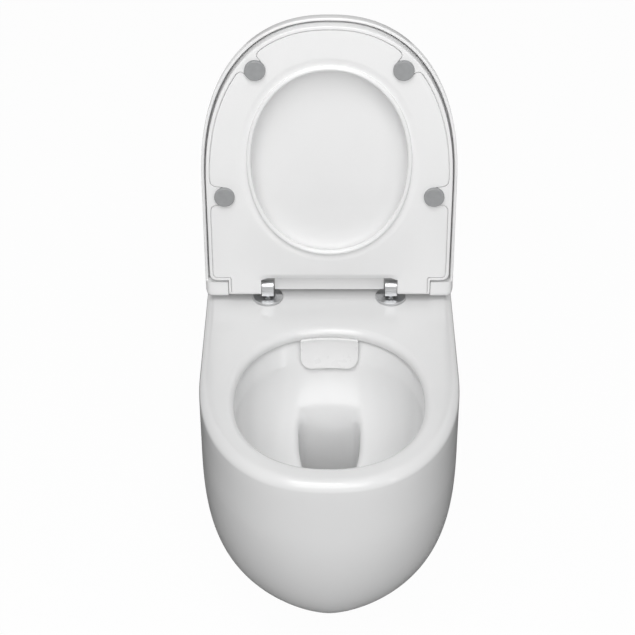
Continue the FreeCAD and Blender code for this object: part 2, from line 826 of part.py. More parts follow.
def build():
    nodes = {
        "pan": make_pan(),
        "flush_deflector": make_deflector(),
        "seat_shell": make_seat_shell(),
        "seat_underside": make_seat_panel(),
        "lid": make_lid(),
    }
    for place in bumper_places():
        nodes["seat_bumper_" + place] = make_bumper(place)
    paired = {
        "wall_bracket": make_bracket,
        "side_screw": make_side_screw,
        "side_bush": make_side_bush,
        "side_cap": make_side_cap,
        "hinge_gasket": make_gasket,
        "hinge_disc": make_disc,
        "hinge_bolt": make_bolt,
        "deck_plug": make_plug,
        "deck_nut": make_nut,
        "hinge_post": make_post,
        "hinge_pin": make_pin,
        "lid_pad": make_lid_pad,
    }
    for name, make in paired.items():
        for word, side in sides.items():
            nodes[name + "_" + word] = make(side)
    nodes["seat_damper"] = make_damper(-1, ear_start, ear_width)
    nodes["seat_bush"] = make_bush(1, ear_start, ear_width)
    nodes["lid_damper"] = make_damper(1, knuckle_start, knuckle_bore)
    nodes["lid_bush"] = make_bush(-1, knuckle_start, knuckle_bore)
    return nodes


os.makedirs("parts", exist_ok=True)
for name, shape in build().items():
    shape.Solids[0].exportStep("parts/" + name + ".step")
    print(name, len(shape.Solids), shape.isValid(), round(shape.Volume))
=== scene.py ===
import json
import math
import bmesh
import bpy
from mathutils import Matrix, Vector


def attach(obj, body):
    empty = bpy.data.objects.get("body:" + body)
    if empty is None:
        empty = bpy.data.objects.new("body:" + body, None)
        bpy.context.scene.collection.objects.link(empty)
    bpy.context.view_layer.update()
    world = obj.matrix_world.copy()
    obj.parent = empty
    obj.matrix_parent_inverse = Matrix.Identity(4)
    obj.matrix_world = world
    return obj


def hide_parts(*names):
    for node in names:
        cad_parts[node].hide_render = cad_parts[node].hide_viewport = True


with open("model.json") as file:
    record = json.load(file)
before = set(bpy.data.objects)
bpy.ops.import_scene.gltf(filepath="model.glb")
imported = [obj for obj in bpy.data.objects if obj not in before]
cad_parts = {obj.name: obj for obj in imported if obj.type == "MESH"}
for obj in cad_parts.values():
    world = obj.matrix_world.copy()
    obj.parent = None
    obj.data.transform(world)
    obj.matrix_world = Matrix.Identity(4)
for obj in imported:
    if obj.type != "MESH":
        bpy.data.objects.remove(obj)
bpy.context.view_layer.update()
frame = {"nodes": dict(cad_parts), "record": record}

scene = bpy.context.scene
print("frame loaded:", len(frame["nodes"]), "nodes")

# Pieces are modelled in millimetres and made metres when they are finished.
# +X is the viewer's right, -Y the front, +Z up; lengths in plan run from the wall.
mm = 0.001


def setInputs(node, values):
    for name, value in values.items():
        node.inputs[name].default_value = value
    return node


def surfaceMaterial(name, look):
    material = bpy.data.materials.new(name)
    material.use_nodes = True
    nodes = material.node_tree.nodes
    links = material.node_tree.links
    shader = setInputs(nodes["Principled BSDF"], {
        "Metallic": look.get("metallic", 0.0), "IOR": 1.5, "Coat Weight": look.get("coat", 0.0),
        "Coat Roughness": look.get("coatRoughness", 0.03),
    })
    coords = nodes.new("ShaderNodeTexCoord")

    # soft mottling of the colour
    mottle = setInputs(nodes.new("ShaderNodeTexNoise"), {"Scale": look["mottle"], "Detail": 4.0})
    links.new(coords.outputs["Object"], mottle.inputs["Vector"])
    tint = nodes.new("ShaderNodeValToRGB")
    for element, place, shade in zip(tint.color_ramp.elements, (0.3, 0.7), ("darker", "colour")):
        element.position = place
        element.color = (*look[shade], 1.0)
    links.new(mottle.outputs["Fac"], tint.inputs["Fac"])
    links.new(tint.outputs["Color"], shader.inputs["Base Color"])

    # polish that varies a little
    polish = setInputs(nodes.new("ShaderNodeTexNoise"), {"Scale": look["polish"], "Detail": 3.0})
    links.new(coords.outputs["Object"], polish.inputs["Vector"])
    smoothest, roughest = look["roughness"]
    spread = setInputs(nodes.new("ShaderNodeMapRange"), {
        "From Min": 0.3, "From Max": 0.7, "To Min": smoothest, "To Max": roughest,
    })
    links.new(polish.outputs["Fac"], spread.inputs["Value"])
    links.new(spread.outputs["Result"], shader.inputs["Roughness"])

    # grain of the surface; stretch draws it out along an axis
    scale, strength, depth = look["grain"]
    grain = setInputs(nodes.new("ShaderNodeTexNoise"), {"Scale": scale, "Detail": 2.0})
    turn = setInputs(nodes.new("ShaderNodeMapping"), {"Scale": look.get("stretch", (1.0, 1.0, 1.0))})
    links.new(coords.outputs["Object"], turn.inputs["Vector"])
    links.new(turn.outputs["Vector"], grain.inputs["Vector"])
    bump = setInputs(nodes.new("ShaderNodeBump"), {"Strength": strength, "Distance": depth * mm})
    links.new(grain.outputs["Fac"], bump.inputs["Height"])
    links.new(bump.outputs["Normal"], shader.inputs["Normal"])
    return material


# a grain is its scale, its strength and its depth in millimetres
finishes = {
    "white_glaze": {
        "colour": (0.8, 0.8, 0.8), "darker": (0.785, 0.787, 0.788), "mottle": 9.0,
        "roughness": (0.16, 0.22), "polish": 30.0, "coat": 0.15, "coatRoughness": 0.05,
        "grain": (45.0, 0.1, 0.25),
    },
    "deflector_plastic": {
        "colour": (0.84, 0.84, 0.84), "darker": (0.83, 0.83, 0.83), "mottle": 25.0,
        "roughness": (0.26, 0.34), "polish": 60.0,
        "grain": (300.0, 0.03, 0.05),
    },
    "seat_plastic": {
        "colour": (0.89, 0.89, 0.89), "darker": (0.88, 0.88, 0.88), "mottle": 12.0,
        "roughness": (0.16, 0.24), "polish": 40.0,
        "grain": (260.0, 0.05, 0.08),
    },
    "lid_plastic": {
        "colour": (0.88, 0.88, 0.88), "darker": (0.87, 0.87, 0.87), "mottle": 10.0,
        "roughness": (0.14, 0.22), "polish": 35.0,
        "grain": (220.0, 0.05, 0.08),
    },
    "cap_plastic": {
        "colour": (0.8, 0.8, 0.8), "darker": (0.785, 0.785, 0.785), "mottle": 40.0,
        "roughness": (0.16, 0.24), "polish": 90.0,
        "grain": (600.0, 0.05, 0.05),
    },
    "bumper_rubber": {
        "colour": (0.34, 0.345, 0.35), "darker": (0.3, 0.305, 0.31), "mottle": 150.0,
        "roughness": (0.55, 0.7), "polish": 300.0,
        "grain": (1600.0, 0.35, 0.1),
    },
    "hinge_chrome": {
        "colour": (0.55, 0.555, 0.56), "darker": (0.5, 0.505, 0.51), "mottle": 60.0,
        "metallic": 1.0, "roughness": (0.3, 0.38), "polish": 220.0,
        "grain": (500.0, 0.04, 0.05),
    },
    "screw_steel": {
        "colour": (0.56, 0.57, 0.58), "darker": (0.46, 0.47, 0.48), "mottle": 200.0,
        "metallic": 1.0, "roughness": (0.25, 0.4), "polish": 400.0,
        "grain": (900.0, 0.15, 0.05), "stretch": (0.1, 1.0, 1.0),
    },
    "bracket_steel": {
        "colour": (0.27, 0.28, 0.29), "darker": (0.22, 0.23, 0.24), "mottle": 60.0,
        "metallic": 0.6, "roughness": (0.38, 0.55), "polish": 150.0,
        "grain": (700.0, 0.25, 0.1),
    },
    "nut_brass": {
        "colour": (0.7, 0.52, 0.24), "darker": (0.58, 0.42, 0.18), "mottle": 200.0,
        "metallic": 1.0, "roughness": (0.25, 0.42), "polish": 350.0,
        "grain": (900.0, 0.2, 0.05),
    },
    "gasket_rubber": {
        "colour": (0.62, 0.62, 0.61), "darker": (0.56, 0.56, 0.55), "mottle": 180.0,
        "roughness": (0.5, 0.65), "polish": 300.0,
        "grain": (1500.0, 0.3, 0.08),
    },
    "plug_rubber": {
        "colour": (0.045, 0.045, 0.047), "darker": (0.03, 0.03, 0.031), "mottle": 120.0,
        "roughness": (0.6, 0.8), "polish": 250.0,
        "grain": (1200.0, 0.4, 0.12),
    },
    "nylon": {
        "colour": (0.72, 0.72, 0.7), "darker": (0.66, 0.66, 0.64), "mottle": 120.0,
        "roughness": (0.45, 0.6), "polish": 260.0,
        "grain": (1200.0, 0.25, 0.06),
    },
}
materials = {slot: surfaceMaterial(slot.replace("_", " "), look) for slot, look in finishes.items()}

# the solids that keep their own shape take the finish of their slot
for part in frame["record"]["subparts"]:
    piece = frame["nodes"][part["node"]]
    piece.data.materials.clear()
    piece.data.materials.append(materials[part["material_slot"]])
print("materials made:", len(materials))


deepest = 0.9995  # share of its depth at which a curve is taken to end
tiny = 0.01
quarters = (0.25, 0.5, 0.75, 1.0)
discShares = (0.02, 0.3, 0.6, 0.85, 1.0)
rounds = {"fine": 96, "plain": 64, "coarse": 48, "small": 32}


def swell(drop, depth, power):
    # share of the full width that is left at a drop below the widest place
    share = min(max(drop / depth, 0.0), deepest)
    return (1.0 - share ** power) ** (1.0 / power)


def smooth(share):
    share = min(max(share, 0.0), 1.0)
    return share * share * (3.0 - 2.0 * share)


def quarterTurn(steps):
    # sine, and one less the cosine, of even steps through a right angle
    turns = [math.pi / 2 * step / steps for step in range(1, steps + 1)]
    return [(math.sin(turn), 1 - math.cos(turn)) for turn in turns]


def ovalPoint(angle, halfWidth, halfLength, power):
    across = math.copysign(abs(math.cos(angle)) ** (2.0 / power) * halfWidth, math.cos(angle))
    forward = math.copysign(abs(math.sin(angle)) ** (2.0 / power) * halfLength, math.sin(angle))
    return across, forward


def ovalAngle(across, ahead, width, length, power):
    # angle of an oval's point that lies in the direction of a place beside its centre
    ratio = width / length * abs(ahead) / max(abs(across), 1e-6)
    angle = math.atan(ratio ** (power / 2))
    return math.atan2(math.copysign(math.sin(angle), ahead), math.copysign(math.cos(angle), across))


def towards(ring, other, share):
    return [a.lerp(b, share) for a, b in zip(ring, other)]


def softBend(start, corner, end, share):
    # a ring on the soft curve that leaves start towards the corner and arrives at end
    return towards(towards(start, corner, share), towards(corner, end, share), share)


def startRing(bm, points):
    # a closed loop whose vertices remember their column
    column = bm.verts.layers.int.new("column")
    verts = bmesh.ops.create_circle(bm, segments=len(points), radius=1.0)["verts"]
    for index, (vert, point) in enumerate(zip(verts, points)):
        vert[column] = index
        vert.co = point
    return list({edge for vert in verts for edge in vert.link_edges})


def extrudeRing(bm, ring):
    # new vertices of the extruded loop, and the edges between them
    grown = bmesh.ops.extrude_edge_only(bm, edges=ring)["geom"]
    fresh = {item for item in grown if isinstance(item, bmesh.types.BMVert)}
    return fresh, [item for item in grown
                   if isinstance(item, bmesh.types.BMEdge) and fresh.issuperset(item.verts)]


def growRing(bm, ring, points):
    # extrude the loop and put each new vertex on its column's next point
    column = bm.verts.layers.int["column"]
    fresh, edges = extrudeRing(bm, ring)
    for vert in fresh:
        vert.co = points[vert[column]]
    return edges


def startDisc(bm, middle, points):
    # a closed disc from its middle out to the points
    ring = startRing(bm, [middle.lerp(p, discShares[0]) for p in points])
    bmesh.ops.edgeloop_fill(bm, edges=ring)
    for share in discShares[1:]:
        ring = growRing(bm, ring, [middle.lerp(p, share) for p in points])
    return ring


def closeShape(bm, ring):
    bmesh.ops.edgeloop_fill(bm, edges=ring)
    bmesh.ops.recalc_face_normals(bm, faces=bm.faces)
    return bm


def roundEdges(bm, geom, radius, segments):
    bmesh.ops.bevel(bm, geom=geom, offset=radius, offset_type="OFFSET", segments=segments, profile=0.5,
                    affect="EDGES", material=-1)


def addObject(name, data):
    item = bpy.data.objects.new(name, data)
    scene.collection.objects.link(item)
    return item


def plainObject(bm, name):
    mesh = bpy.data.meshes.new(name)
    bm.to_mesh(mesh)
    bm.free()
    return addObject(name, mesh)


def finishPiece(bm, name, slot, body, nodes, sharpAngle=35.0):
    bmesh.ops.scale(bm, vec=(mm, mm, mm), verts=bm.verts)
    piece = plainObject(bm, name)
    piece.data.shade_smooth()
    piece.data.set_sharp_from_angle(angle=math.radians(sharpAngle))
    piece.data.materials.append(materials[slot])
    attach(piece, body)
    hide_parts(*nodes)
    print(name + ":", len(piece.data.polygons), "faces")


def finalShape(item):
    # a new bmesh of an object as its modifiers leave it
    bpy.context.view_layer.update()
    shape = bmesh.new()
    shape.from_mesh(item.evaluated_get(bpy.context.evaluated_depsgraph_get()).to_mesh())
    return shape


def shapedBy(base, tools, solver="MANIFOLD"):
    # joins and cuts closed shapes, and returns the result as a new bmesh
    for helper, operation in tools:
        step = base.modifiers.new(helper.name, "BOOLEAN")
        step.object = helper
        step.operation = operation
        step.solver = solver
    shaped = finalShape(base)
    for helper in [base] + [helper for helper, operation in tools]:
        bpy.data.objects.remove(helper)
    return shaped


def blockShape(x, y, z):
    bm = bmesh.new()
    bmesh.ops.create_cube(bm, size=1.0)
    size = Vector((x[1] - x[0], y[1] - y[0], z[1] - z[0]))
    middle = Vector((x[0] + x[1], y[0] + y[1], z[0] + z[1])) / 2
    bmesh.ops.scale(bm, vec=size, verts=bm.verts)
    bmesh.ops.translate(bm, vec=middle, verts=bm.verts)
    return bm


def barShape(radius, start, end, segments=rounds["plain"]):
    # round bar between two points
    start, end = Vector(start), Vector(end)
    bm = bmesh.new()
    bmesh.ops.create_cone(bm, cap_ends=True, segments=segments, radius1=radius, radius2=radius,
                          depth=(end - start).length)
    turn = Vector((0, 0, 1)).rotation_difference(end - start).to_matrix()
    bmesh.ops.rotate(bm, cent=(0, 0, 0), matrix=turn, verts=bm.verts)
    bmesh.ops.translate(bm, vec=(start + end) / 2, verts=bm.verts)
    return bm


columns = {"front": 96, "side": 14, "corner": 6, "rear": 36}
squareReach = 10.0  # length of a sharp rear corner's sides that its columns are spread over


def dRing(z, halfWidth, rear, shoulder, tip, power, corner=0.0):
    # straight back and sides, rounded front; starts at the right shoulder
    ring = []
    for step in range(columns["front"]):
        across, forward = ovalPoint(math.pi * step / columns["front"], halfWidth, tip - shoulder, power)
        ring.append(Vector((across, -shoulder - abs(forward), z)))
    reach = corner or squareReach
    side = [Vector((-halfWidth, -shoulder + (shoulder - rear - reach) * step / columns["side"], z))
            for step in range(columns["side"])]
    turn = []
    for step in range(columns["corner"]):
        share = step / columns["corner"]
        if corner:
            angle = share * math.pi / 2
            turn.append(Vector((-halfWidth + reach * (1 - math.cos(angle)),
                                -rear - reach * (1 - math.sin(angle)), z)))
        else:
            turn.append(Vector((-halfWidth + reach * max(0.0, 2 * share - 1),
                                -rear - reach * max(0.0, 1 - 2 * share), z)))
    back = [Vector(((reach - halfWidth) * (1 - 2 * step / columns["rear"]), -rear, z))
            for step in range(columns["rear"] + 1)]
    half = side + turn
    return ring + half + back + [Vector((-p.x, p.y, p.z)) for p in reversed(half)][:-1]


pan = {
    "width": 361.0, "projection": 490.0, "deck": 80.0, "bottom": -262.0, "wall": 11.0,
    "rimRadius": 14.0, "footRound": 3.0, "footRise": 1.4, "shoulder": 242.0, "power": 2.3,
    "bellyTop": -15.0, "bellyWidth": (256.4, 2.74), "bellyFront": (270.7, 2.02), "keel": 274.0,
    "shoulderCreep": 47.0, "bottomPower": 1.61, "middle": 0.4, "levels": 36, "gather": 1.25,
}
bowl = {
    "centre": 301.0, "width": 260.0, "length": 298.6, "power": 2.2, "lip": 11.0, "depth": 185.0,
    "side": 2.6, "front": 2.4, "ramp": 1.3, "ownCurve": 0.62, "mostOwnCurve": 0.55,
}
sump = {
    "rear": 210.0, "width": 92.0, "length": 77.0, "nose": 55.0, "taper": 9.0, "floor": -236.0,
    "corner": 13.0, "leastCorner": 2.0, "floorRadius": 12.0, "rampBlend": (32.0, 28.0),
    "sideBlend": (11.0, 9.0), "blendInset": 4.0, "blendFade": 16.0, "shortestRun": 0.3,
}
undercut = {
    "reach": 6.5, "lip": 3.6, "fade": 17.0, "depth": 48.0, "columns": 160, "inside": 3.0,
    "top": (0.6, 0.8), "lap": (0.5, 0.3, 0.25), "arc": 80.0, "gap": 2.4, "levels": 12, "gather": 1.3,
    "leave": 2.0,
}
lipHeight = pan["deck"] - bowl["lip"]  # where the bowl's own wall starts


def panRing(z, inset):
    drop = pan["bellyTop"] - z
    halfWidth = pan["width"] / 2 * swell(drop, *pan["bellyWidth"])
    tip = pan["keel"] + (pan["projection"] - pan["keel"]) * swell(drop, *pan["bellyFront"])
    share = max(drop, 0.0) / (pan["bellyTop"] - pan["bottom"])
    power = pan["power"] + (pan["bottomPower"] - pan["power"]) * share
    shoulder = pan["shoulder"] + pan["shoulderCreep"] * share
    return dRing(z, halfWidth - inset, 0.0, shoulder, tip - inset, power)


def bowlSizes(share):
    # half width, length to the front and length to the rear at a share of the bowl's depth
    drop = share * bowl["depth"]
    return (bowl["width"] / 2 * swell(drop, bowl["depth"], bowl["side"]),
            bowl["length"] / 2 * swell(drop, bowl["depth"], bowl["front"]),
            bowl["length"] / 2 * swell(drop, bowl["depth"], bowl["ramp"]))


def bowlPoint(angle, share, z, flare=0.0):
    halfWidth, front, rear = bowlSizes(share)
    length = front if math.sin(angle) > 0 else rear
    across, forward = ovalPoint(angle, halfWidth + flare, length + flare, bowl["power"])
    return Vector((across, -bowl["centre"] - forward, z))


def bowlWall(angle, share):
    return bowlPoint(angle, share, lipHeight - share * bowl["depth"])


def bowlHeight(x, y):
    # height of the bowl's surface at a point in plan, by halving the range of depths
    low, high = 0.0, deepest
    ahead = -bowl["centre"] - y
    for step in range(40):
        share = (low + high) / 2
        halfWidth, front, rear = bowlSizes(share)
        length = front if ahead > 0 else rear
        outside = (abs(x) / halfWidth) ** bowl["power"] + (abs(ahead) / length) ** bowl["power"] > 1.0
        low, high = (low, share) if outside else (share, high)
    return lipHeight - low * bowl["depth"]


def onBowl(points):
    return [Vector((p.x, p.y, bowlHeight(p.x, p.y))) for p in points]


def sumpRing(z, inset=0.0):
    narrow = sump["taper"] * (pan["bellyTop"] - z) / (pan["bellyTop"] - sump["floor"]) + inset
    rear = sump["rear"] + inset
    tip = sump["rear"] + sump["length"]
    return dRing(z, sump["width"] / 2 - narrow, rear, tip - sump["nose"], tip - narrow, 2.0,
                 max(sump["corner"] - inset, sump["leastCorner"]))


def sumpWall(heights):
    # a ring on the sump's wall with its own height in each column
    return [sumpRing(z)[index] for index, z in enumerate(heights)]


def creaseRing():
    # where the bowl's surface meets the walls of the sump
    crease = sumpRing(pan["bellyTop"])
    for step in range(4):
        crease = sumpWall([bowlHeight(point.x, point.y) for point in crease])
    return crease


def growOutside(bm):
    # underside and the foot's round
    foot = panRing(pan["bottom"], pan["footRound"])
    corner = panRing(pan["bottom"], 0.0)
    start = pan["bottom"] + pan["footRise"]
    slope = panRing(start, 0.0)
    ring = startDisc(bm, Vector((0.0, -pan["middle"] * pan["projection"], pan["bottom"])), foot)
    for share in quarters:
        ring = growRing(bm, ring, softBend(foot, corner, slope, share))
    # belly, closer together towards the bottom where it curves most
    for step in range(1, pan["levels"] + 1):
        z = start + (pan["bellyTop"] - start) * (step / pan["levels"]) ** pan["gather"]
        ring = growRing(bm, ring, panRing(z, 0.0))
    # upright sides and the rim's soft edge
    edge = pan["rimRadius"]
    for share in quarters:
        z = pan["bellyTop"] + (pan["deck"] - edge - pan["bellyTop"]) * share
        ring = growRing(bm, ring, panRing(z, 0.0))
    for up, over in quarterTurn(8):
        ring = growRing(bm, ring, panRing(pan["deck"] - edge * (1 - up), edge * over))
    return ring


def growLip(bm, ring, angles):
    # deck, then the roll of the lip
    lip = bowl["lip"]
    deckRing = panRing(pan["deck"], pan["rimRadius"])
    outerLip = [bowlPoint(angle, 0.0, pan["deck"], lip) for angle in angles]
    for share in quarters:
        ring = growRing(bm, ring, towards(deckRing, outerLip, share))
    for up, over in quarterTurn(8):
        ring = growRing(bm, ring, [bowlPoint(angle, 0.0, pan["deck"] - lip * over, lip * (1 - up))
                                   for angle in angles])
    return ring


def blendSizes(crease):
    # the ramp runs into the sump in a wide bend, the sides in a tighter one
    sizes = []
    for point in crease:
        share = 0.0
        if point.y > -sump["rear"] - sump["corner"]:
            share = smooth((sump["width"] / 2 - sump["blendInset"] - abs(point.x)) / sump["blendFade"])
        sizes.append([side + (ramp - side) * share
                      for side, ramp in zip(sump["sideBlend"], sump["rampBlend"])])
    return sizes


def growBowl(bm, ring, angles):
    # down the bowl's own curve first, then across to the sump's edge
    crease = creaseRing()
    shares = [(lipHeight - point.z) / bowl["depth"] for point in crease]
    shares = [min(bowl["ownCurve"] * share, bowl["mostOwnCurve"]) for share in shares]
    for step in range(1, 11):
        ring = growRing(bm, ring, [bowlWall(angle, share * step / 10)
                                   for share, angle in zip(shares, angles)])
    lower = [bowlWall(angle, share) for share, angle in zip(shares, angles)]
    blends = blendSizes(crease)
    bendStart = []
    for low, corner, (outward, downward) in zip(lower, crease, blends):
        share = max(1.0 - outward / (corner - low).length, sump["shortestRun"])
        bendStart.append(low.lerp(corner, share))
    bendStart = onBowl(bendStart)
    bendEnd = sumpWall([point.z - downward for point, (outward, downward) in zip(crease, blends)])
    for step in range(1, 15):
        ring = growRing(bm, ring, onBowl(towards(lower, bendStart, step / 14)))
    for step in range(1, 9):
        ring = growRing(bm, ring, softBend(bendStart, crease, bendEnd, step / 8))
    return ring, bendEnd


def growSump(bm, ring, wallTop):
    # walls, the rounded foot and the floor
    radius = sump["floorRadius"]
    base = sump["floor"] + radius
    for step in range(1, 13):
        ring = growRing(bm, ring, sumpWall([p.z + (base - p.z) * step / 12 for p in wallTop]))
    for up, over in quarterTurn(5):
        ring = growRing(bm, ring, sumpRing(base - radius * up, radius * over))
    last = sumpRing(sump["floor"], radius)
    middle = Vector((0.0, -sump["rear"] - sump["length"] / 2, sump["floor"]))
    for share in (0.5, 0.9, 0.98):
        ring = growRing(bm, ring, towards(last, [middle] * len(last), share))
    bmesh.ops.edgeloop_fill(bm, edges=ring)


def makeCeramicShell():
    bm = bmesh.new()
    ring = growOutside(bm)
    angles = [ovalAngle(point.x, -bowl["centre"] - point.y, bowl["width"], bowl["length"], bowl["power"])
              for point in panRing(pan["deck"], pan["rimRadius"])]
    ring = growLip(bm, ring, angles)
    ring, wallTop = growBowl(bm, ring, angles)
    growSump(bm, ring, wallTop)
    # open the back against the wall
    rear = [face for face in bm.faces if all(vert.co.y > -tiny for vert in face.verts)]
    bmesh.ops.delete(bm, geom=rear, context="FACES")
    bmesh.ops.recalc_face_normals(bm, faces=bm.faces)
    deckUp = sum(face.normal.z * face.calc_area() for face in bm.faces
                 if face.calc_center_median().z > pan["deck"] - 0.1)
    if deckUp < 0:
        bmesh.ops.reverse_faces(bm, faces=bm.faces)
    shape = plainObject(bm, "shell")
    wall = shape.modifiers.new("wall", "SOLIDIFY")
    wall.thickness = pan["wall"]
    wall.offset = -1.0
    return shape


def undercutShape():
    # the bowl's wall stands back under the lip, which leaves the lip a crisp lower edge
    bm = bmesh.new()
    angles = [2 * math.pi * step / undercut["columns"] for step in range(undercut["columns"])]
    inside = -undercut["inside"]
    lipLap, roundLap, wallLap = undercut["lap"]

    def ringAt(depth, flare):
        z = lipHeight - depth
        return [bowlPoint(angle, depth / bowl["depth"], z, flare) for angle in angles]

    capDepth, topDepth = undercut["top"]
    ring = startRing(bm, ringAt(capDepth, inside))
    bmesh.ops.edgeloop_fill(bm, edges=ring)
    ring = growRing(bm, ring, ringAt(topDepth, -lipLap))
    for step in range(1, 6):
        angle = math.radians(undercut["arc"]) * step / 5
        ring = growRing(bm, ring, ringAt(topDepth + undercut["lip"] * math.sin(angle),
                                         undercut["lip"] * (1 - math.cos(angle)) - roundLap))
    start = undercut["lip"] + undercut["gap"]
    for level in range(undercut["levels"]):
        share = level / (undercut["levels"] - 1)
        depth = start + (undercut["depth"] - start) * share ** undercut["gather"]
        flare = undercut["reach"] * math.exp(-(depth - start) / undercut["fade"])
        ring = growRing(bm, ring, ringAt(depth, flare - wallLap - undercut["leave"] * share ** 2))
    ring = growRing(bm, ring, ringAt(undercut["depth"] + undercut["leave"], inside))
    return closeShape(bm, ring)


trap = {
    "radius": 36.0, "wall": 9.0, "bend": 52.0, "mostRun": 0.9, "fit": 0.6, "mouth": (-232.0, -200.0),
    "path": [(-206.0, -200.0), (-165.0, -200.0), (-115.0, -72.0), (-45.0, -100.0), (-41.0, -100.0)],
}
spigot = {"radius": 51.0, "bore": 42.0, "height": -100.0, "from": -45.0, "to": -4.0}
inlet = {"radius": 27.5, "wall": 9.0, "depth": 57.0, "height": 35.0, "channel": 18.0, "channelEnd": 11.0}
slot = {"width": 64.0, "height": 20.0, "middle": 46.0, "front": 33.0, "wallFront": 13.0, "back": 22.0,
        "lean": 2.5}
fixing = {
    "hinges": 90.0, "setback": 70.0, "deckHole": 7.0, "deckHoleHeights": (50.0, 90.0),
    "sideDepth": 42.0, "sideHole": 7.0, "sideHoleLength": 30.0, "counterbore": 12.0,
    "counterboreDepth": 7.0, "boss": 19.0, "bossDepth": 20.0, "bossStart": 5.5,
    "bearingHalf": 10.0, "bearingPlan": (-54.5, -11.0), "bearingHeights": (15.0, 74.5),
}
past = 5.0  # how far a cutter passes the surface that it opens


def pipeShape(path, radius):
    # straight runs and bends, in the plane x = 0
    points = [Vector((0.0, y, z)) for y, z in path]
    bm = bmesh.new()
    verts = bmesh.ops.create_circle(bm, segments=rounds["coarse"], radius=radius)["verts"]
    turn = Vector((0, 0, 1)).rotation_difference(points[1] - points[0]).to_matrix()
    bmesh.ops.rotate(bm, cent=(0, 0, 0), matrix=turn, verts=verts)
    bmesh.ops.translate(bm, vec=points[0], verts=verts)
    ring = list(bm.edges)
    bmesh.ops.edgeloop_fill(bm, edges=ring)
    place = points[0]

    def pushTo(ring, start, end):
        fresh, edges = extrudeRing(bm, ring)
        bmesh.ops.translate(bm, vec=end - start, verts=list(fresh))
        return edges

    for before, corner, after in zip(points, points[1:], points[2:]):
        back = (before - corner).normalized()
        ahead = (after - corner).normalized()
        half = back.angle(ahead) / 2
        longest = trap["mostRun"] * min((before - corner).length, (after - corner).length)
        run = min(trap["bend"] / math.tan(half), longest)
        start = corner + back * run
        ring = pushTo(ring, place, start)
        centre = corner + (back + ahead).normalized() * (run / math.cos(half))
        axis = (start - centre).cross(corner + ahead * run - centre).normalized()
        spun = bmesh.ops.spin(bm, geom=ring, cent=centre, axis=axis, dvec=(0, 0, 0),
                              angle=math.pi - 2 * half, steps=10, use_duplicate=False)["geom_last"]
        ring = [item for item in spun if isinstance(item, bmesh.types.BMEdge)]
        place = corner + ahead * run
    return closeShape(bm, pushTo(ring, place, points[-1]))


def inletShapes(wall, start):
    # bore at the wall, its channel and the slot behind the deflector
    rear = bowl["centre"] - bowl["length"] / 2
    height = inlet["height"]
    across = slot["width"] / 2 + wall
    upright = slot["height"] / 2 + wall
    slotBlock = blockShape((-across, across),
                           (-rear - slot["wallFront" if wall else "front"], -rear + slot["back"] + wall),
                           (slot["middle"] - upright, slot["middle"] + upright))
    if wall:
        # its front leans with the bowl's wall, so that it stays inside the ceramic
        for vert in slotBlock.verts:
            if vert.co.y < -rear and vert.co.z > slot["middle"]:
                vert.co.y = -rear + slot["lean"]
    return [
        barShape(inlet["radius"] + wall, (0, start, height), (0, -inlet["depth"] - wall, height)),
        barShape(inlet["channel"] + wall, (0, -inlet["depth"], height),
                 (0, -rear + inlet["channelEnd"], height), rounds["coarse"]),
        slotBlock,
    ]


def fixingShapes(side):
    # what one side's brackets and hinges need: shapes that are added, and shapes that are cut
    middle = side * fixing["hinges"]
    outer = pan["width"] / 2
    deckLow, deckHigh = fixing["deckHoleHeights"]

    def sideBar(radius, inner, end, segments=rounds["plain"]):
        return barShape(radius, (side * (outer - inner), -fixing["sideDepth"], 0),
                        (side * (outer + end), -fixing["sideDepth"], 0), segments)

    added = [blockShape((middle - fixing["bearingHalf"], middle + fixing["bearingHalf"]),
                        fixing["bearingPlan"], fixing["bearingHeights"]),
             sideBar(fixing["boss"], fixing["bossDepth"], -fixing["bossStart"])]
    cut = [barShape(fixing["deckHole"], (middle, -fixing["setback"], deckLow),
                    (middle, -fixing["setback"], deckHigh), rounds["small"]),
           sideBar(fixing["sideHole"], fixing["sideHoleLength"], past, rounds["small"]),
           sideBar(fixing["counterbore"], fixing["counterboreDepth"], past, rounds["coarse"])]
    return added, cut


def makePan():
    spigotStart = (0, spigot["from"], spigot["height"])
    adders = [pipeShape(trap["path"], trap["radius"] + trap["wall"]),
              barShape(spigot["radius"], spigotStart, (0, spigot["to"], spigot["height"]), rounds["fine"])]
    adders += inletShapes(inlet["wall"], 0.0)
    cutters = [pipeShape([trap["mouth"]] + trap["path"][1:], trap["radius"] - trap["fit"]),
               barShape(spigot["bore"], spigotStart, (0, past, spigot["height"]), rounds["fine"])]
    cutters += inletShapes(0.0, past)
    for side in (-1, 1):
        added, cut = fixingShapes(side)
        adders += added
        cutters += cut
    cutters.append(undercutShape())
    tools = [(plainObject(bm, "adder"), "UNION") for bm in adders]
    tools += [(plainObject(bm, "cutter"), "DIFFERENCE") for bm in cutters]
    finishPiece(shapedBy(makeCeramicShell(), tools), "ceramic_pan", "white_glaze", "root", ["pan"])


makePan()

deflector = {
    "width": 82.5, "top": 71.5, "low": 30.0, "corner": 17.0, "topCorner": 2.5, "stand": 5.0, "thick": 4.0,
    "edge": 1.3, "backEdge": 0.3, "leg": 6.0, "legReach": (13.5, 11.0), "legEdge": 0.8, "arcSteps": 8,
    "longSteps": 16, "shortSteps": 8,
}


def bowlBack(x, z):
    # how far back the bowl's wall lies behind the bowl's centre, at a point seen from the front
    share = max((lipHeight - z) / bowl["depth"], 0.0)
    halfWidth, front, rear = bowlSizes(share)
    return rear * (1.0 - (abs(x) / halfWidth) ** bowl["power"]) ** (1.0 / bowl["power"])


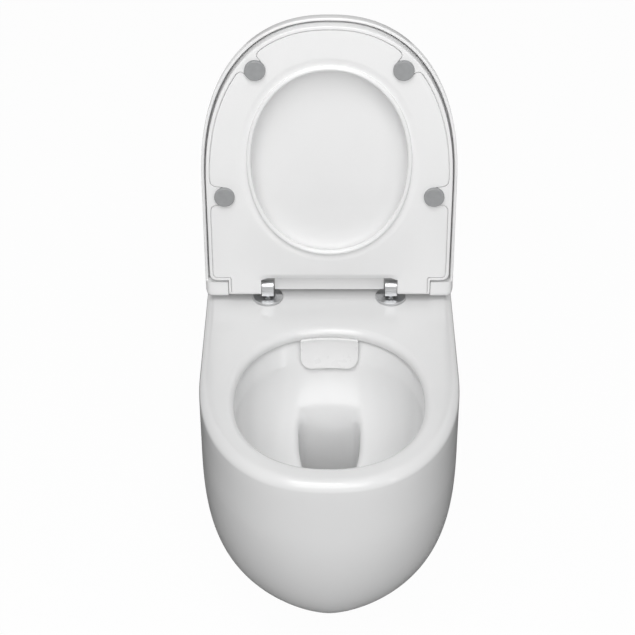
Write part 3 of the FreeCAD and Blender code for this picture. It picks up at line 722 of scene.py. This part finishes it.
def plateRing(inset, stand, shrink=1.0):
    # rounded rectangle seen from the front, laid on the bowl's curve
    half = deflector["width"] / 2
    middle = (deflector["top"] + deflector["low"]) / 2
    arc = deflector["arcSteps"]
    points = []
    for cornerX, cornerZ, start in ((1, 1, 0), (-1, 1, 90), (-1, -1, 180), (1, -1, 270)):
        radius = deflector["topCorner" if cornerZ > 0 else "corner"]
        centreX = cornerX * (half - radius)
        centreZ = deflector["top" if cornerZ > 0 else "low"] - cornerZ * radius
        for step in range(arc + 1):
            angle = math.radians(start + 90 * step / arc)
            reach = radius - inset
            points.append((centreX + reach * math.cos(angle), centreZ + reach * math.sin(angle)))
    # even steps along each straight side, from the last point of its corner's arc
    ring = []
    for index, (x, z) in enumerate(points):
        ring.append((x, z))
        corner, step = divmod(index, arc + 1)
        if step == arc:
            nextX, nextZ = points[(index + 1) % len(points)]
            count = deflector["longSteps" if corner % 2 == 0 else "shortSteps"]
            ring += [(x + (nextX - x) * step / count, z + (nextZ - z) * step / count)
                     for step in range(1, count)]
    placed = []
    for x, z in ring:
        x, z = x * shrink, middle + (z - middle) * shrink
        placed.append(Vector((x, -bowl["centre"] + bowlBack(x, z) - stand, z)))
    return placed


def makeDeflector():
    bm = bmesh.new()
    stand, edge, backEdge = (deflector[word] for word in ("stand", "edge", "backEdge"))
    front = stand + deflector["thick"]
    ring = startRing(bm, plateRing(edge, front, 0.03))
    bmesh.ops.edgeloop_fill(bm, edges=ring)
    for shrink in (0.25, 0.5, 0.75, 0.9, 1.0):
        ring = growRing(bm, ring, plateRing(edge, front, shrink))
    for up, over in quarterTurn(5):
        ring = growRing(bm, ring, plateRing(edge * (1 - up), front - edge * over))
    ring = growRing(bm, ring, plateRing(0.0, stand + backEdge))
    for shrink in (1.0, 0.9, 0.6, 0.3, 0.03):
        ring = growRing(bm, ring, plateRing(backEdge, stand, shrink))
    closeShape(bm, ring)
    # two legs that snap into the slot
    legs = []
    back = -bowl["centre"] + bowl["length"] / 2
    legFront, legBack = deflector["legReach"]
    for side in (-1, 1):
        outer = side * slot["width"] / 2
        leg = blockShape(sorted((outer, outer - side * deflector["leg"])), (back - legFront, back + legBack),
                         (slot["middle"] - deflector["leg"], slot["middle"] + deflector["leg"]))
        roundEdges(leg, list(leg.edges), deflector["legEdge"], 2)
        legs.append((plainObject(leg, "leg"), "UNION"))
    shape = shapedBy(plainObject(bm, "plate"), legs, "EXACT")
    finishPiece(shape, "deflector_plate", "deflector_plastic", "root", ["flush_deflector"], 50.0)


makeDeflector()

# Seat and lid are written as they lie when closed: distances run forward from the
# hinge axis, heights are above or below it.
hinge = {"setback": 70.0, "height": 102.0, "open": 93.0}
axisY, axisZ = -hinge["setback"], hinge["height"]
seat = {
    "half": 173.0, "tip": 413.8, "rear": 18.0, "shoulder": 172.0, "corner": 11.0, "top": 8.0,
    "under": -16.0, "topEdge": 6.0, "underEdge": 1.5, "roll": (11.0, 6.0), "rollHalf": 97.0,
    "rollFade": 6.0, "flat": 12.0, "opening": (209.5, 218.0, 281.0, 2.1), "bead": 6.5, "beadRise": 1.6,
    "beadHeight": 5.6, "beadSquare": 0.6, "valley": 13.0, "throat": 3.0, "throatFlare": 13.0,
    "groove": 5.2, "grooveRadius": 0.8, "grooveDepth": 3.2, "grooveProud": 0.2, "grooveStep": 1.5,
    "grooveEnd": (4.0, -3.0, 2.0), "ear": (98.9, 146.1), "earRadius": 8.6, "earRoot": 30.0,
    "earEdge": 1.4, "bore": 5.0,
}
bumpers = {
    "front": (100.5, 351.0), "rear": (147.5, 157.0), "stepHalf": 27.0, "stepFollow": 0.6,
    "stepStart": ((26.0, 0.0), (20.5, 0.6), (17.0, 3.0), (15.0, 7.0)),
    "stepRound": ((14.0, -4.0), (12.5, 3.0), (8.0, 9.5), (0.0, 12.0)),
}


def closedPoint(x, distance, height):
    return Vector((x, axisY - distance, axisZ + height))


def turnOpen(bm):
    turn = Matrix.Rotation(math.radians(-hinge["open"]), 3, "X")
    bmesh.ops.rotate(bm, cent=(0.0, axisY, axisZ), matrix=turn, verts=bm.verts)


def coverRing(cover, height, inset):
    # outline of the seat or the lid at a height
    return dRing(axisZ + height, cover["half"] - inset, hinge["setback"] + cover["rear"] + inset,
                 hinge["setback"] + cover["shoulder"], hinge["setback"] + cover["tip"] - inset,
                 pan["power"], max(cover["corner"] - inset, 1.0))


def seatRing(height, inset):
    ring = coverRing(seat, height, inset)
    # between the hinges the rear edge rolls away
    reach, rise = seat["roll"]
    for point in ring:
        distance = axisY - point.y - seat["rear"]
        if height < 0 and distance < reach:
            share = smooth((seat["rollHalf"] - abs(point.x)) / seat["rollFade"])
            point.z += rise * (smooth((reach - distance) / reach) * share)
    return ring


def openingRing(height, flare, angles):
    centre, width, length, power = seat["opening"]
    ring = []
    for angle in angles:
        across, forward = ovalPoint(angle, width / 2 + flare, length / 2 + flare, power)
        ring.append(closedPoint(across, centre + forward, height))
    return ring


def seatBody():
    bm = bmesh.new()
    centre, width, length, power = seat["opening"]
    angles = [ovalAngle(point.x, axisY - point.y - centre, width, length, power)
              for point in seatRing(seat["under"], seat["underEdge"])]
    top, under, edge = seat["top"], seat["under"], seat["topEdge"]
    first = startRing(bm, seatRing(top, edge))
    ring = first
    for up, over in quarterTurn(6):
        ring = growRing(bm, ring, seatRing(top - edge * over, edge * (1 - up)))
    edge = seat["underEdge"]
    for height in (-2.0, -8.0, under + edge):
        ring = growRing(bm, ring, seatRing(height, 0.0))
    for up, over in quarterTurn(4):
        ring = growRing(bm, ring, seatRing(under + edge * (1 - up), edge * over))
    # flat underside, the shallow valley and the bead round the opening
    for inset in (4.0, 7.0, 10.0):
        ring = growRing(bm, ring, seatRing(under, inset))
    flat = seatRing(under, seat["flat"])
    valley = openingRing(under, seat["bead"] + seat["valley"], angles)
    for share in (0.0, 0.33, 0.66, 1.0):
        ring = growRing(bm, ring, towards(flat, valley, share))
    for step in range(1, 9):
        flare = seat["bead"] + seat["valley"] * (1 - step / 8)
        ring = growRing(bm, ring, openingRing(under + seat["beadRise"] * smooth(step / 8), flare, angles))
    foot = under + seat["beadRise"]
    half = seat["bead"] / 2
    for step in range(1, 11):
        turn = math.pi * step / 10
        proud = seat["beadHeight"] * max(math.sin(turn), 0.0) ** seat["beadSquare"]
        ring = growRing(bm, ring, openingRing(foot - proud, half + half * math.cos(turn), angles))
    # the wall of the opening widens away from the bead
    flare, throat = seat["throatFlare"], seat["throat"]
    for share in (0.1, 0.5, 1.0):
        ring = growRing(bm, ring, openingRing(foot + (top - throat - foot) * share, flare * share, angles))
    for up, over in quarterTurn(4):
        ring = growRing(bm, ring, openingRing(top - throat * (1 - up), flare + throat * over, angles))
    inner = openingRing(top, flare + throat, angles)
    outer = seatRing(top, seat["topEdge"])
    for share in (0.3, 0.7):
        ring = growRing(bm, ring, towards(inner, outer, share))
    bmesh.ops.bridge_loops(bm, edges=ring + first)
    bmesh.ops.recalc_face_normals(bm, faces=bm.faces)
    return bm


def earShape(side):
    radius = seat["earRadius"]
    lift = seat["top"] - radius
    drop = seat["under"] + radius
    profile = [(seat["earRoot"], seat["top"])]
    for step in range(17):
        turn = math.pi * step / 16
        height = radius * math.cos(turn)
        profile.append((-radius * math.sin(turn), height + (lift if height > 0 else drop)))
    profile.append((seat["earRoot"], seat["under"]))
    inner, outer = (side * x for x in seat["ear"])
    bm = bmesh.new()
    ring = startRing(bm, [closedPoint(inner, *point) for point in profile])
    bmesh.ops.edgeloop_fill(bm, edges=ring)
    ends = list(ring)
    ring = growRing(bm, ring, [closedPoint(outer, *point) for point in profile])
    closeShape(bm, ring)
    roundEdges(bm, ends + ring, seat["earEdge"], 3)
    return bm


def cutCorners(points):
    # softens the bends of an open line of points
    for turn in range(2):
        softer = [points[0]]
        for a, b in zip(points, points[1:]):
            softer += [a.lerp(b, 0.25), a.lerp(b, 0.75)]
        points = softer + [points[-1]]
    return points


def evenSteps(points, reach):
    # the same open line with points close together
    steps = []
    for a, b in zip(points, points[1:]):
        count = max(round((b - a).length / reach), 1)
        steps += [a.lerp(b, step / count) for step in range(count)]
    return steps + [points[-1]]


def aroundBumper(line, middle):
    # the line steps inwards round a bumper, and is hidden under it
    lengths = [0.0]
    for a, b in zip(line, line[1:]):
        lengths.append(lengths[-1] + (b - a).length)
    nearest = min(range(len(line)), key=lambda index: (line[index] - middle).length)
    base, centre = line[nearest], lengths[nearest]
    away = (base - middle).length
    inward = (middle - base).normalized()
    along = Vector((-inward.y, inward.x))
    if along.dot(line[nearest + 1] - base) < 0:
        along = -along
    half = [(-s, w) for s, w in bumpers["stepStart"]] + [(-s, away + w) for s, w in bumpers["stepRound"]]
    reach = bumpers["stepHalf"]
    before = [p for p, length in zip(line, lengths) if length < centre - reach]
    after = [p for p, length in zip(line, lengths) if length > centre + reach]
    # on the rounded front the line bends away from the straight one, so the step follows it
    placed = []
    for s, w in half + [(-s, w) for s, w in reversed(half[:-1])]:
        bend = (abs(s) / reach) ** 2
        sag = ((before[-1] if s < 0 else after[0]) - base).dot(inward)
        followed = sag * bend + w * (1 - bumpers["stepFollow"] * bend)
        placed.append(base + along * s + inward * max(w, followed))
    return before + cutCorners(placed) + after


def grooveLine():
    # right half of the panel's edge, from the ear round to the tip, as (across, distance)
    earInset, endDistance, earGap = seat["grooveEnd"]
    ear = seat["ear"][1] - earInset
    ring = [Vector((p.x, axisY - p.y)) for p in seatRing(seat["under"], seat["groove"])]
    right = [p for p in ring if p.x > -tiny]
    straight = [p for p in right if p.y <= seat["shoulder"] + tiny and p.x > ear]
    curved = [p for p in right if p.y > seat["shoulder"] + tiny]
    line = sorted(straight, key=lambda p: (p.y, p.x)) + sorted(curved, key=lambda p: -p.x)
    line = evenSteps(line, seat["grooveStep"])
    for name in ("rear", "front"):
        line = aroundBumper(line, Vector(bumpers[name]))
    return [Vector((ear, endDistance)), Vector((ear, line[0].y - earGap))] + line


def grooveCutter():
    # a narrow slot, deeper than wide
    right = grooveLine()
    points = right + [Vector((-p.x, p.y)) for p in reversed(right)]
    curve = bpy.data.curves.new("groove", "CURVE")
    curve.dimensions = "2D"
    curve.fill_mode = "NONE"
    curve.bevel_depth = seat["grooveRadius"]
    curve.bevel_resolution = 1
    curve.extrude = seat["grooveDepth"] / 2
    curve.use_fill_caps = True
    spline = curve.splines.new("POLY")
    spline.points.add(len(points) - 1)
    for target, point in zip(spline.points, points):
        target.co = (point.x, axisY - point.y, 0.0, 1.0)
    holder = addObject("groove", curve)
    bm = finalShape(holder)
    bpy.data.objects.remove(holder)
    bmesh.ops.remove_doubles(bm, verts=bm.verts, dist=0.001)
    bmesh.ops.recalc_face_normals(bm, faces=bm.faces)
    middle = axisZ + seat["under"] + seat["grooveDepth"] / 2 - seat["grooveProud"]
    bmesh.ops.translate(bm, vec=(0, 0, middle), verts=bm.verts)
    return bm


def pinBore(start, end):
    return barShape(seat["bore"], closedPoint(start, 0, 0), closedPoint(end, 0, 0), rounds["small"])


def makeSeat():
    inner, outer = seat["ear"]
    tools = [(plainObject(earShape(side), "ear"), "UNION") for side in (-1, 1)]
    tools.append((plainObject(grooveCutter(), "groove"), "DIFFERENCE"))
    for side in (-1, 1):
        bore = pinBore(side * (inner - 1.0), side * (outer + 1.0))
        tools.append((plainObject(bore, "bore"), "DIFFERENCE"))
    bm = shapedBy(plainObject(seatBody(), "seat body"), tools)
    turnOpen(bm)
    finishPiece(bm, "seat_ring", "seat_plastic", "seat", ["seat_shell", "seat_underside"])


makeSeat()

lid = {
    "half": 180.0, "tip": 421.0, "rear": -13.5, "shoulder": 172.0, "corner": 12.0, "top": 13.5,
    "inside": 10.0, "rim": -5.5, "wall": 4.2, "edge": 8.0, "rimEdge": 1.6, "fillet": 3.0, "middle": 0.5,
    "knuckle": (147.0, 13.0, -12.0), "knuckleInset": (0.8, 0.6), "knuckleLap": 1.0, "knuckleRound": 8.0,
    "gapDepth": 6.0, "gapHeight": 30.0, "notch": 10.0, "boreLength": 22.5,
}


def lidTray():
    bm = bmesh.new()
    top, rim, edge, rimEdge, wall = (lid[word] for word in ("top", "rim", "edge", "rimEdge", "wall"))
    inside, fillet = lid["inside"], lid["fillet"]
    middle = closedPoint(0.0, lid["middle"] * lid["tip"], top)
    ring = startDisc(bm, middle, coverRing(lid, top, edge))
    for up, over in quarterTurn(8):
        ring = growRing(bm, ring, coverRing(lid, top - edge * over, edge * (1 - up)))
    for share in (0.5, 1.0):
        ring = growRing(bm, ring, coverRing(lid, top - edge + (rim + rimEdge - top + edge) * share, 0.0))
    # rounded edge of the rim, then up the inside
    for step in range(1, 9):
        turn = math.pi * step / 8
        ring = growRing(bm, ring, coverRing(lid, rim + rimEdge * (1 - math.sin(turn)),
                                            wall / 2 * (1 - math.cos(turn))))
    ring = growRing(bm, ring, coverRing(lid, inside - fillet, wall))
    for up, over in quarterTurn(4):
        ring = growRing(bm, ring, coverRing(lid, inside - fillet * (1 - up), wall + fillet * over))
    flat = coverRing(lid, inside, wall + fillet)
    middle = closedPoint(0.0, lid["middle"] * lid["tip"], inside)
    for share in reversed(discShares[:-1]):
        ring = growRing(bm, ring, [middle.lerp(p, share) for p in flat])
    return closeShape(bm, ring)


def knuckleShape(side):
    # block in the lid's rear corner that the hinge pin ends in, rounded to the viewer
    inner, front, low = lid["knuckle"]
    outerInset, rearInset = lid["knuckleInset"]
    outer = side * (lid["half"] - outerInset)
    bm = blockShape(sorted((side * inner, outer)), (axisY - front, axisY - lid["rear"] - rearInset),
                    (axisZ + low, axisZ + lid["inside"] + lid["knuckleLap"]))
    edges = []
    for edge in bm.edges:
        atOuter = all(abs(vert.co.x - outer) < tiny for vert in edge.verts)
        atRear = all(vert.co.y > axisY for vert in edge.verts)
        below = all(vert.co.z < axisZ for vert in edge.verts)
        if atOuter + atRear + below >= 2:
            edges.append(edge)
    roundEdges(bm, edges, lid["knuckleRound"], 8)
    return bm


def makeLid():
    inner = lid["knuckle"][0]
    rear = axisY - lid["rear"] + past
    gap = blockShape((-inner, inner), (axisY - lid["gapDepth"], rear),
                     (axisZ - lid["gapHeight"], axisZ + lid["inside"]))
    tools = [(plainObject(gap, "rear gap"), "DIFFERENCE")]
    tools += [(plainObject(knuckleShape(side), "knuckle"), "UNION") for side in (-1, 1)]
    for side in (-1, 1):
        middle = side * fixing["hinges"]
        notch = blockShape((middle - lid["notch"], middle + lid["notch"]), (axisY - lid["notch"], rear),
                           (axisZ, axisZ + lid["gapHeight"]))
        bore = pinBore(side * (inner - 1.0), side * (inner + lid["boreLength"]))
        tools += [(plainObject(notch, "notch"), "DIFFERENCE"), (plainObject(bore, "bore"), "DIFFERENCE")]
    bm = shapedBy(plainObject(lidTray(), "lid tray"), tools)
    turnOpen(bm)
    finishPiece(bm, "lid_cover", "lid_plastic", "lid", ["lid"])


makeLid()

# The stage is in metres. Each card is a radius, a place and a lean; each lamp a
# place, what it faces, its size and its watts.
studio = {
    "floorHalf": 6.0, "floorHeight": -0.33, "floorWhite": 0.97, "skyLight": 0.21,
    "cards": [(1.1, (0.0, -0.2, -0.325), 0.0), (1.3, (0.0, 1.9, 1.2), 90.0)],
    "lamps": {
        "front light": ((0.0, -2.45, 2.2), (0.0, -0.25, 0.05), (2.8, 2.2), 54.5),
        "high light": ((-0.35, -1.35, 2.9), (0.0, -0.25, 0.1), (1.3, 0.7), 20.0),
        "top light": ((0.0, -0.5, 2.5), (0.0, -0.25, 0.0), (1.6, 1.0), 5.0),
        "side light": ((1.5, -1.5, 0.5), (0.1, -0.4, -0.05), (0.15, 1.0), 1.6),
    },
}
plainWhite = (1.0, 1.0, 1.0, 1.0)
viewpoint = {"place": (0.0, -2.2111, 1.5719), "down": 35.5, "lens": 100.66, "shift": -0.0186}


def backdropRays(nodes, links):
    # 1 for a ray that sees the background itself, in a gloss or through glass
    rays = nodes.new("ShaderNodeLightPath")
    seen = rays.outputs["Is Camera Ray"]
    for kind in ("Is Glossy Ray", "Is Transmission Ray"):
        either = nodes.new("ShaderNodeMath")
        either.operation = "MAXIMUM"
        links.new(seen, either.inputs[0])
        links.new(rays.outputs[kind], either.inputs[1])
        seen = either.outputs[0]
    return seen


def mixWhite(nodes, links, share, own, white, output):
    mix = nodes.new("ShaderNodeMixShader")
    links.new(share, mix.inputs["Fac"])
    links.new(own.outputs[0], mix.inputs[1])
    links.new(white.outputs[0], mix.inputs[2])
    links.new(mix.outputs[0], nodes[output].inputs["Surface"])


def greyProp(bm, name, finish, grey):
    prop = plainObject(bm, name)
    material = bpy.data.materials.new(finish)
    material.use_nodes = True
    setInputs(material.node_tree.nodes["Principled BSDF"],
              {"Base Color": (grey, grey, grey, 1.0), "Roughness": 0.9})
    prop.data.materials.append(material)
    return prop


def makeFloor():
    bm = bmesh.new()
    bmesh.ops.create_grid(bm, x_segments=1, y_segments=1, size=studio["floorHalf"])
    bmesh.ops.translate(bm, vec=(0, 0, studio["floorHeight"]), verts=bm.verts)
    floor = greyProp(bm, "floor", "pale floor", 0.85)
    tree = floor.data.materials[0].node_tree
    nodes = tree.nodes
    links = tree.links
    white = setInputs(nodes.new("ShaderNodeEmission"), {"Color": plainWhite})
    share = nodes.new("ShaderNodeMath")
    share.operation = "MULTIPLY"
    share.inputs[1].default_value = studio["floorWhite"]
    links.new(backdropRays(nodes, links), share.inputs[0])
    mixWhite(nodes, links, share.outputs[0], nodes["Principled BSDF"], white, "Material Output")


def makeShadeCard(radius, place, lean):
    # a dark card that only reflections see, so that the pale sides keep their edge
    bm = bmesh.new()
    bmesh.ops.create_circle(bm, cap_ends=True, segments=rounds["plain"], radius=radius)
    bmesh.ops.rotate(bm, matrix=Matrix.Rotation(math.radians(lean), 3, "X"), verts=bm.verts)
    bmesh.ops.translate(bm, vec=place, verts=bm.verts)
    card = greyProp(bm, "shade card", "dark card", 0.03)
    card.visible_camera = False
    card.visible_diffuse = False
    card.visible_transmission = False
    card.visible_shadow = False


def makeWorld():
    world = bpy.data.worlds.new("studio")
    scene.world = world
    world.use_nodes = True
    nodes = world.node_tree.nodes
    links = world.node_tree.links
    dim = setInputs(nodes["Background"], {"Color": plainWhite, "Strength": studio["skyLight"]})
    white = setInputs(nodes.new("ShaderNodeBackground"), {"Color": plainWhite, "Strength": 1.0})
    mixWhite(nodes, links, backdropRays(nodes, links), dim, white, "World Output")


def makeSoftbox(name, place, target, size, watts):
    light = bpy.data.lights.new(name, "AREA")
    light.shape = "RECTANGLE"
    light.size, light.size_y = size
    light.energy = watts
    lamp = addObject(name, light)
    lamp.location = place
    lamp.rotation_euler = (Vector(target) - Vector(place)).to_track_quat("-Z", "Y").to_euler()


def makeCamera():
    # camera solved from the photo's outline of the bowl, the deck and the seat
    camera = bpy.data.cameras.new("camera")
    camera.sensor_width = 36.0
    camera.lens = viewpoint["lens"]
    camera.shift_x = viewpoint["shift"]
    view = addObject("camera", camera)
    view.location = viewpoint["place"]
    view.rotation_euler = (math.radians(90.0 - viewpoint["down"]), 0.0, 0.0)
    scene.camera = view


makeFloor()
for card in studio["cards"]:
    makeShadeCard(*card)
makeWorld()
for name, lamp in studio["lamps"].items():
    makeSoftbox(name, *lamp)
makeCamera()
scene.view_settings.view_transform = "Standard"
print("stage, light and camera set")
